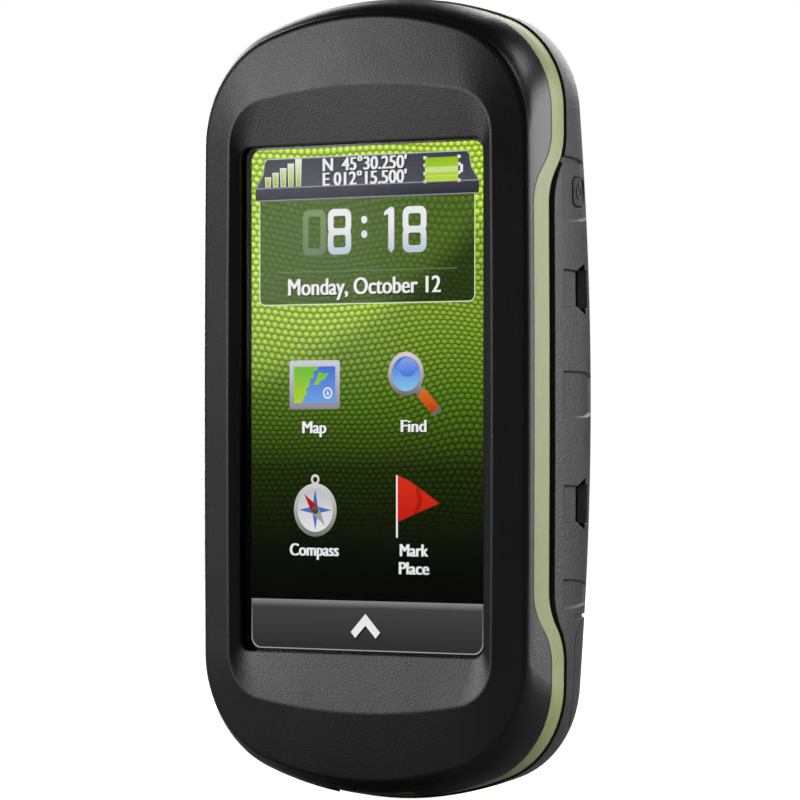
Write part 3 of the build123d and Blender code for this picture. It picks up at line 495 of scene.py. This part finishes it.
def strip_outline(grow):
    """The strip's plate, wider at its foot; grow widens it for the pale edge behind."""
    half = [(24.6 + grow, 38.2), (24.3 + grow, 38.7), (23.0 + grow, 40.6), (22.8 + grow, 41.4),
            (22.6 + grow, 42.9), (22.1, 43.45 + grow)]
    return half + [(-x, z) for x, z in reversed(half)]


film("screen_status_edge", [strip_outline(0.2)], 3, edge)
film("screen_status_strip", [strip_outline(0.0)], 4, strip)
film("screen_status_lip", [rounded(-24.75, 36.1, 24.75, 38.3, 0.35, 3)], 4, lip)
film("screen_lip_edge", [[(-24.6, 38.2), (24.6, 38.2), (24.6, 38.42), (-24.6, 38.42)],
                         [(-24.4, 35.95), (24.4, 35.95), (24.4, 36.15), (-24.4, 36.15)]], 5, edge)

# Five signal bars, narrower at the foot, and the battery gauge.
glow = lit("gauge_green", (250, 255, 220), (170, 205, 40), 43.0, 38.8)
white = lit("ui_white", (255, 255, 255), (255, 255, 255), 45, -45)
bars, rims = [], []
for i in range(5):
    x, top = -21.9 + 1.73 * i, 40.1 + 0.78 * i
    bars.append([(x - 0.42, 38.6), (x + 0.42, 38.6), (x + 0.58, top), (x - 0.58, top)])
    rims.append([(x - 0.56, 38.5), (x + 0.56, 38.5), (x + 0.74, top + 0.2), (x - 0.74, top + 0.2)])
film("screen_signal_rims", rims, 5, white)
film("screen_signal_bars", bars, 6, glow)
cell_glow = lit("cell_green", (150, 205, 30), (205, 240, 70), 43.0, 38.0)
cell_shine = lit("cell_shine", (225, 245, 170), (215, 240, 130), 43.0, 38.0)
ticks = []
for x in (12.75, 20.05):
    for z in (38.1, 39.5, 41.0, 42.3):
        ticks.append(rounded(x, z, x + 0.75, z + 0.55, 0.1, 2))
film("screen_cell_rim", ticks + [rounded(20.7, 39.8, 21.3, 41.2, 0.15, 2)], 5, white)
film("screen_cell", [rounded(13.1, 38.35, 20.3, 42.6, 0.2, 2)], 6, cell_glow)
film("screen_cell_shine", [[(13.1, 39.9), (20.2, 39.9), (20.2, 40.9), (13.1, 40.9)],
                           [(13.1, 39.2), (20.2, 39.2), (20.2, 39.4), (13.1, 39.4)]], 7, cell_shine)


# Figures and words are films too; a word is thickened by setting it three times.
BOLD, CAPITAL_SHARE = 0.26, 0.7


def words(name, text, x, width, z, height, layer, material, shadow=None):
    """A centred line of text: x and z are its middle, height that of its capitals."""
    if shadow is not None:
        words(name + "_shade", text, x + 0.2, width, z - 0.22, height, layer - 1, shadow)
    curve = bpy.data.curves.new(name, "FONT")
    curve.body, curve.align_x, curve.align_y = text, "CENTER", "CENTER"
    curve.size = height * MM / CAPITAL_SHARE
    curve.extrude = FILM * 0.3 * MM
    raised = bpy.data.objects.new(name, curve)
    bpy.context.scene.collection.objects.link(raised)
    bpy.context.view_layer.update()
    mesh = bpy.data.meshes.new_from_object(raised)
    bpy.data.objects.remove(raised)
    across = [v.co.x for v in mesh.vertices]
    squeeze = width * MM / (max(across) - min(across))
    middle = (max(across) + min(across)) / 2
    depth = (film_y(layer) + FILM * FILM_SHARE / 2) * MM
    for v in mesh.vertices:
        left, up, out = v.co
        v.co = ((left - middle) * squeeze + x * MM, depth - out, up + z * MM)
    thick = bmesh.new()
    for step in (-0.5, 0.0, 0.5):
        mesh.transform(Matrix.Translation((step * BOLD * MM, 0, 0)))
        thick.from_mesh(mesh)
        mesh.transform(Matrix.Translation((-step * BOLD * MM, 0, 0)))
    thick.to_mesh(mesh)
    thick.free()
    mesh.materials.clear()
    link(name, mesh, material, "unit")


HALF_WIDE, HALF_HIGH, STROKE, CORNER = 2.6, 4.1, 1.25, 1.35
WAIST, WAIST_INNER = 0.55, 0.6


def loop(cx, low, high, low_stroke, high_stroke, inner_corner):
    """A closed stroke of a figure, from low to high."""
    outside = rounded(cx - HALF_WIDE, low, cx + HALF_WIDE, high, CORNER)
    side = HALF_WIDE - STROKE
    return outside, rounded(cx - side, low + low_stroke, cx + side, high - high_stroke, inner_corner)


def digit(kind, cx, cz):
    """An eight-millimetre clock figure in rounded strokes: 0, 8 or 1."""
    bottom, top = cz - HALF_HIGH, cz + HALF_HIGH
    if kind == "0":
        return [loop(cx, bottom, top, STROKE, STROKE, 0.25)]
    if kind == "8":
        waist = WAIST + WAIST_INNER
        return [loop(cx, cz - WAIST, top, waist, STROKE, 0.45),
                loop(cx, bottom, cz + WAIST, STROKE, waist, 0.45)]
    stem = [(cx, bottom), (cx + 0.65, bottom + 0.8), (cx + 0.65, top - 0.3), (cx + 0.3, top),
            (cx - 0.3, top), (cx - 0.65, top - 0.6), (cx - 0.65, bottom + 0.8)]
    flag = [(cx - 1.7, top - 1.5), (cx - 0.5, top - 1.2), (cx - 0.2, top), (cx - 1.4, top - 0.7)]
    return [stem, flag]


clock_white = lit("clock_white", (255, 255, 255), (200, 215, 235), 31.0, 26.0)
clock_dim = lit("clock_dim", (128, 158, 100), (112, 140, 104), 34.0, 26.0)
film("screen_digit_ten", digit("0", -11.4, 30.0), 3, clock_dim)
for label, kind, x in (("one", "8", -5.75), ("min_ten", "1", 5.7), ("min_one", "8", 10.8)):
    figure = digit(kind, x, 30.0)
    film("screen_digit_" + label, figure[:1], 3, clock_white)
    film("screen_digit_" + label + "_b", figure[1:], 4, clock_white)
film("screen_colon", [disc(-0.25, 32.0, 0.68, 20), disc(-0.25, 29.4, 0.68, 20)], 3, clock_white)

shade = lit("ui_shade", (6, 10, 4), (6, 10, 4), 45, -45)
words("screen_latitude", "N  45°30.250'", -0.2, 18.4, 42.0, 2.35, 6, white, shade)
words("screen_longitude", "E 012°15.500'", -0.2, 18.4, 39.4, 2.35, 6, white, shade)
words("screen_date", "Monday, October 12", -0.4, 33.6, 20.0, 3.0, 4, white, shade)
words("screen_label_map", "Map", -11.4, 5.2, -5.3, 2.2, 4, white, shade)
words("screen_label_find", "Find", 10.6, 5.4, -5.1, 2.2, 4, white, shade)
words("screen_label_compass", "Compass", -11.4, 10.8, -27.4, 2.2, 4, white, shade)
words("screen_label_mark", "Mark", 10.7, 6.0, -27.2, 2.2, 4, white, shade)
words("screen_label_place", "Place", 10.7, 6.4, -30.4, 2.2, 4, white, shade)

# Map tile: grey frame, blue water, green land with a ragged coast, a small ring.
frame_grey = lit("icon_grey", (224, 220, 232), (150, 146, 160), 7.0, -2.0)
water = lit("icon_water", (60, 110, 225), (120, 175, 245), 6.0, -1.0)
land = lit("icon_land", (110, 200, 50), (190, 225, 60), 6.0, -1.0)
film("icon_map_frame", [rounded(-17.0, -1.9, -5.7, 6.9, 0.5, 3)], 2, frame_grey)
film("icon_map_water", [[(-16.0, -0.8), (-6.7, -0.8), (-6.7, 5.8), (-16.0, 5.8)]], 3, water)
mainland = [(-16.0, -0.8), (-14.2, -0.8), (-13.6, 0.4), (-13.0, 0.9), (-13.3, 1.7), (-12.5, 2.3),
            (-12.3, 3.6), (-11.4, 3.9), (-11.8, 4.8), (-10.7, 5.1), (-10.4, 5.8), (-16.0, 5.8)]
island = [(-11.5, 2.5), (-10.6, 2.4), (-9.9, 3.2), (-9.0, 3.5),
          (-8.2, 4.6), (-9.4, 4.5), (-10.3, 4.9), (-10.9, 3.7)]
film("icon_map_land", [mainland, island], 4, land)
film("icon_map_ring", [(disc(-8.4, 1.0, 1.05, 24), disc(-8.4, 1.0, 0.75, 24)),
                       [(-8.75, 0.5), (-8.4, 0.75), (-8.05, 0.5), (-8.4, 1.6)]], 4, white)

# Hand lens: steel ring, blue glass with a shine, orange grip between two ferrules.
ring_steel = lit("icon_steel", (236, 226, 222), (122, 112, 118), 8.2, 0.4)
lens_blue = lit("icon_lens", (42, 98, 232), (150, 215, 250), 7.6, 1.0)
lens_shine = lit("icon_lens_shine", (150, 180, 248), (86, 134, 240), 7.4, 4.4)
orange = lit("icon_orange", (240, 120, 40), (196, 66, 14), 1.6, -2.4)
film("icon_lens_ring", [(disc(8.9, 4.3, 3.9), disc(8.9, 4.3, 3.1))], 2, ring_steel)
film("icon_lens_glass", [disc(8.9, 4.3, 3.1)], 2, lens_blue)
film("icon_lens_shine", [disc(9.3, 5.5, 1.75, 32, 1.15)], 3, lens_shine)


def along(start, end, width, at0, at1):
    """A straight bar from share at0 to share at1 of the line from start to end."""
    d = Vector((end[0] - start[0], end[1] - start[1]))
    side = Vector((-d.y, d.x)).normalized() * width / 2
    a, b = Vector(start) + d * at0, Vector(start) + d * at1
    return [tuple(a - side), tuple(b - side), tuple(b + side), tuple(a + side)]


grip = ((11.2, 1.9), (15.9, -2.6))
film("icon_lens_ferrules", [along(*grip, 1.7, 0.0, 0.22), along(*grip, 2.1, 0.86, 1.0)], 3, ring_steel)
film("icon_lens_grip", [along(*grip, 2.1, 0.2, 0.88)], 4, orange)

# Compass: steel case with a bow on top, white face, blue four-point star, needle.
case_steel = lit("icon_case", (238, 236, 230), (120, 118, 114), -14.0, -25.0)
face_white = lit("icon_face", (196, 200, 204), (246, 246, 248), -15.4, -24.0)
star_blue = lit("icon_star", (44, 92, 178), (90, 140, 214), -16.0, -24.0)
needle_red = lit("icon_red", (224, 40, 30), (176, 20, 14), -16.0, -20.0)
needle_grey = lit("icon_needle_tail", (150, 148, 144), (196, 194, 190), -20.0, -23.6)
cx, cz = -11.2, -20.1
film("icon_compass_case", [(disc(cx, cz, 4.8), disc(cx, cz, 3.95))], 2, case_steel)
film("icon_compass_bow", [(disc(cx, cz + 5.5, 0.95, 24), disc(cx, cz + 5.5, 0.5, 24))], 3, case_steel)
film("icon_compass_face", [disc(cx, cz, 3.95)], 2, face_white)


star = []
for i in range(8):
    a, reach = math.tau * i / 8, 3.7 if i % 2 == 0 else 0.85
    star.append((cx + reach * math.cos(a), cz + reach * math.sin(a)))
film("icon_compass_star", [star], 3, star_blue)
tip, tail = (cx - 2.5, cz + 2.9), (cx + 2.3, cz - 2.9)
needle_left, needle_right = (cx - 0.75, cz - 0.55), (cx + 0.7, cz + 0.6)
film("icon_compass_needle", [[tip, needle_left, needle_right]], 4, needle_red)
film("icon_compass_tail", [[tail, needle_right, needle_left]], 4, needle_grey)
hub_grey = lit("icon_hub", (110, 106, 102), (50, 48, 46), cz + 0.7, cz - 0.7)
film("icon_compass_hub", [disc(cx, cz, 0.7, 24)], 5, hub_grey)

# Flag: red pennant with a fold, on a white pole.
flag_red = lit("icon_flag", (226, 52, 28), (206, 30, 18), -14.0, -22.0)
flag_fold = lit("icon_flag_fold", (188, 34, 20), (168, 24, 14), -15.0, -22.0)
film("icon_flag_pole", [rounded(6.75, -24.9, 7.15, -13.7, 0.15, 2)], 2, white)
pennant = [(7.1, -13.8), (9.4, -14.6), (12.2, -16.2), (16.2, -18.7), (12.0, -20.2), (7.1, -22.1)]
fold = [(11.0, -15.6), (12.0, -16.2), (12.5, -18.4), (11.6, -20.3), (10.6, -20.7), (11.5, -18.3)]
film("icon_flag_cloth", [pennant], 3, flag_red)
film("icon_flag_fold", [fold], 4, flag_fold)

# Soft-key bar: dark grey with a bright top edge, a thin outline and a chevron.
BAR_TOP, BAR_LINE = -36.3, 0.18
bar = lit("bar_grey", (74, 74, 75), (50, 50, 51), BAR_TOP, -45.2)
bar_edge = lit("bar_edge", (150, 150, 154), (70, 70, 72), BAR_TOP, BAR_TOP - 1.3)
bar_line = lit("bar_line", (110, 110, 112), (176, 178, 182), BAR_TOP, -45.0)
lower_corners = [(x, z) for x, z in rounded(-VIEW_X, -VIEW_Z, VIEW_X, 0, VIEW_R) if z < BAR_TOP]
half = len(lower_corners) // 2
bar_shape = [(-VIEW_X, BAR_TOP)] + lower_corners[half:] + lower_corners[:half] + [(VIEW_X, BAR_TOP)]
film("screen_bar", [bar_shape], 1, bar)
bar_inside = []
for x, z in bar_shape:
    bar_inside.append((x * (VIEW_X - BAR_LINE) / VIEW_X, z if z == BAR_TOP else z + BAR_LINE))
film("screen_bar_outline", [(bar_shape, bar_inside)], 2, bar_line)
top_edge = [(-VIEW_X, BAR_TOP - 1.3), (VIEW_X, BAR_TOP - 1.3), (VIEW_X, BAR_TOP), (-VIEW_X, BAR_TOP)]
film("screen_bar_edge", [top_edge], 2, bar_edge)
chevron = [(0, -38.6), (3.25, -41.9), (2.25, -42.95), (0, -40.7), (-2.25, -42.95), (-3.25, -41.9)]
film("screen_chevron", [chevron], 3, white)
film("screen_chevron_shade", [[(x + 0.2, z - 0.3) for x, z in chevron]], 2, shade)


# ---- Window ------------------------------------------------------------------
# Hardened cover glass over the display, clear but for a black border printed on
# its back. The border and the glass both show inside the bezel's opening.
glass, tree, shader, _ = new_material("window_glass")
shader.inputs["Base Color"].default_value = (0.02, 0.02, 0.02, 1.0)
shader.inputs["Alpha"].default_value = 0.1
shader.inputs["Specular IOR Level"].default_value = 0.3
shader.inputs["IOR"].default_value = 1.5
smears = add(tree, "ShaderNodeTexNoise", Scale=40.0, Detail=4.0)
smear_gloss = add(tree, "ShaderNodeMapRange")
smear_gloss.inputs["To Min"].default_value, smear_gloss.inputs["To Max"].default_value = 0.04, 0.12
tree.links.new(smears.outputs["Fac"], smear_gloss.inputs["Value"])
tree.links.new(smear_gloss.outputs["Result"], shader.inputs["Roughness"])
dress(glass, "display_window")

ink, tree, shader, _ = new_material("border_ink")
shader.inputs["Base Color"].default_value = linear(8, 8, 9)
ink_flow = add(tree, "ShaderNodeTexNoise", Scale=300.0, Detail=2.0)
ink_gloss = add(tree, "ShaderNodeMapRange")
ink_gloss.inputs["To Min"].default_value, ink_gloss.inputs["To Max"].default_value = 0.1, 0.2
tree.links.new(ink_flow.outputs["Fac"], ink_gloss.inputs["Value"])
tree.links.new(ink_gloss.outputs["Result"], shader.inputs["Roughness"])
BORDER_IN, BORDER_R = 0.2, 2.8
glass_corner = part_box("display_window")[1]
half_x, half_z = glass_corner.x / MM - BORDER_IN, glass_corner.z / MM - BORDER_IN
border = rounded(-half_x, -half_z, half_x, half_z, BORDER_R)
view = rounded(-VIEW_X, -VIEW_Z, VIEW_X, VIEW_Z, VIEW_R)
film("window_border", [(border, view)], 7, ink)


# ---- Metal pieces ------------------------------------------------------------
# Stainless latch, ring and screws; tinned cans and shells; gold-flashed contacts,
# all brushed, with streaks along Z; and a chassis of cast alloy, tumbled dull.
BRUSHED, TUMBLED = (1.0, 1.0, 0.05), (1.0, 1.0, 1.0)
TARNISH = 0.72


def metal(name, colour, roughness, streak=BRUSHED):
    """Worked metal with fine streaks in its gloss and a little tarnish in its colour."""
    material, tree, shader, _ = new_material(name)
    place, stretch = add(tree, "ShaderNodeTexCoord"), add(tree, "ShaderNodeMapping")
    stretch.inputs["Scale"].default_value = streak
    streaks = add(tree, "ShaderNodeTexNoise", Scale=2600.0, Detail=3.0)
    tree.links.new(place.outputs["Object"], stretch.inputs["Vector"])
    tree.links.new(stretch.outputs["Vector"], streaks.inputs["Vector"])
    gloss = add(tree, "ShaderNodeMapRange")
    gloss.inputs["To Min"].default_value = roughness - 0.06
    gloss.inputs["To Max"].default_value = roughness + 0.14
    tree.links.new(streaks.outputs["Fac"], gloss.inputs["Value"])
    tree.links.new(gloss.outputs["Result"], shader.inputs["Roughness"])
    tarnish = add(tree, "ShaderNodeTexNoise", Scale=180.0, Detail=4.0)
    tree.links.new(place.outputs["Object"], tarnish.inputs["Vector"])
    tone = add(tree, "ShaderNodeValToRGB")
    tone.color_ramp.elements[0].color = tuple(c * TARNISH for c in colour[:3]) + (1.0,)
    tone.color_ramp.elements[1].color = colour
    tree.links.new(tarnish.outputs["Fac"], tone.inputs["Fac"])
    tree.links.new(tone.outputs["Color"], shader.inputs["Base Color"])
    shader.inputs["Metallic"].default_value = 1.0
    rounding = add(tree, "ShaderNodeBevel", samples=4, Radius=0.12 * MM)
    bump = add(tree, "ShaderNodeBump", Strength=0.12, Distance=0.005 * MM)
    tree.links.new(rounding.outputs["Normal"], bump.inputs["Normal"])
    tree.links.new(streaks.outputs["Fac"], bump.inputs["Height"])
    tree.links.new(bump.outputs["Normal"], shader.inputs["Normal"])
    return material


dress(metal("stainless", linear(176, 176, 178), 0.28), "latch_spindle", "latch_clip", "latch_ring",
      "housing_screws", "board_screws", "switch_bracket", "backup_cell")
dress(metal("tin_plate", linear(196, 195, 190), 0.34), "usb_connector", "radio_shield", "processor_shield",
      "pressure_sensor", "card_socket", "cell_contacts")
dress(metal("gold_flash", linear(222, 184, 96), 0.24), "cradle_contacts", "battery_contacts",
      "aerial_connector")
dress(metal("cast_alloy", linear(170, 172, 174), 0.5, TUMBLED), "chassis")


# ---- Boards, chips and inner plastics ----------------------------------------
# Green solder mask over copper tracks, black moulded parts, amber flat cable,
# fired ceramic, white vent film and a shrink-wrapped battery pack.
board, tree, shader, _ = new_material("solder_mask")
place = add(tree, "ShaderNodeTexCoord")
tracks = add(tree, "ShaderNodeTexVoronoi", Scale=420.0, distance="MANHATTAN", feature="DISTANCE_TO_EDGE")
tree.links.new(place.outputs["Object"], tracks.inputs["Vector"])
mask_tint = add(tree, "ShaderNodeValToRGB")
track, mask = mask_tint.color_ramp.elements
track.position, track.color = 0.06, linear(60, 118, 70)
mask.position, mask.color = 0.1, linear(18, 72, 38)
tree.links.new(tracks.outputs["Distance"], mask_tint.inputs["Fac"])
tree.links.new(mask_tint.outputs["Color"], shader.inputs["Base Color"])
shader.inputs["Roughness"].default_value = 0.3
dress(board, "main_board", "card_board")

chip_black = moulded("chip_black", linear(24, 24, 25), linear(34, 34, 35), 0.45, 0.2, 0.01, 0.1)
dress(chip_black, "audio_jack", "speaker", "compass_sensor", "board_connector", "memory_card", "power_switch")
amber_film = moulded("amber_film", linear(170, 98, 24), linear(196, 120, 34), 0.25, 0.6, 0.004, 0.05)
dress(amber_film, "display_flex")
cable_jacket = moulded("cable_jacket", linear(92, 58, 38), linear(108, 70, 46), 0.4, 0.3, 0.01, 0.1)
dress(cable_jacket, "aerial_lead")
ceramic = moulded("fired_ceramic", linear(214, 198, 166), linear(226, 212, 184), 0.35, 0.25, 0.008, 0.15)
dress(ceramic, "patch_antenna")
vent_film = moulded("vent_film", linear(228, 228, 226), linear(240, 240, 238), 0.7, 0.2, 0.01, 0.05)
dress(vent_film, "vent_membrane")
shrink_wrap = moulded("shrink_wrap", linear(34, 36, 42), linear(48, 50, 56), 0.2, 4.0, 0.06, 0.6)
dress(shrink_wrap, "battery_pack")
panel_back = moulded("panel_back", linear(120, 122, 126), linear(136, 138, 142), 0.4, 0.5, 0.01, 0.1)
dress(panel_back, "display_panel")
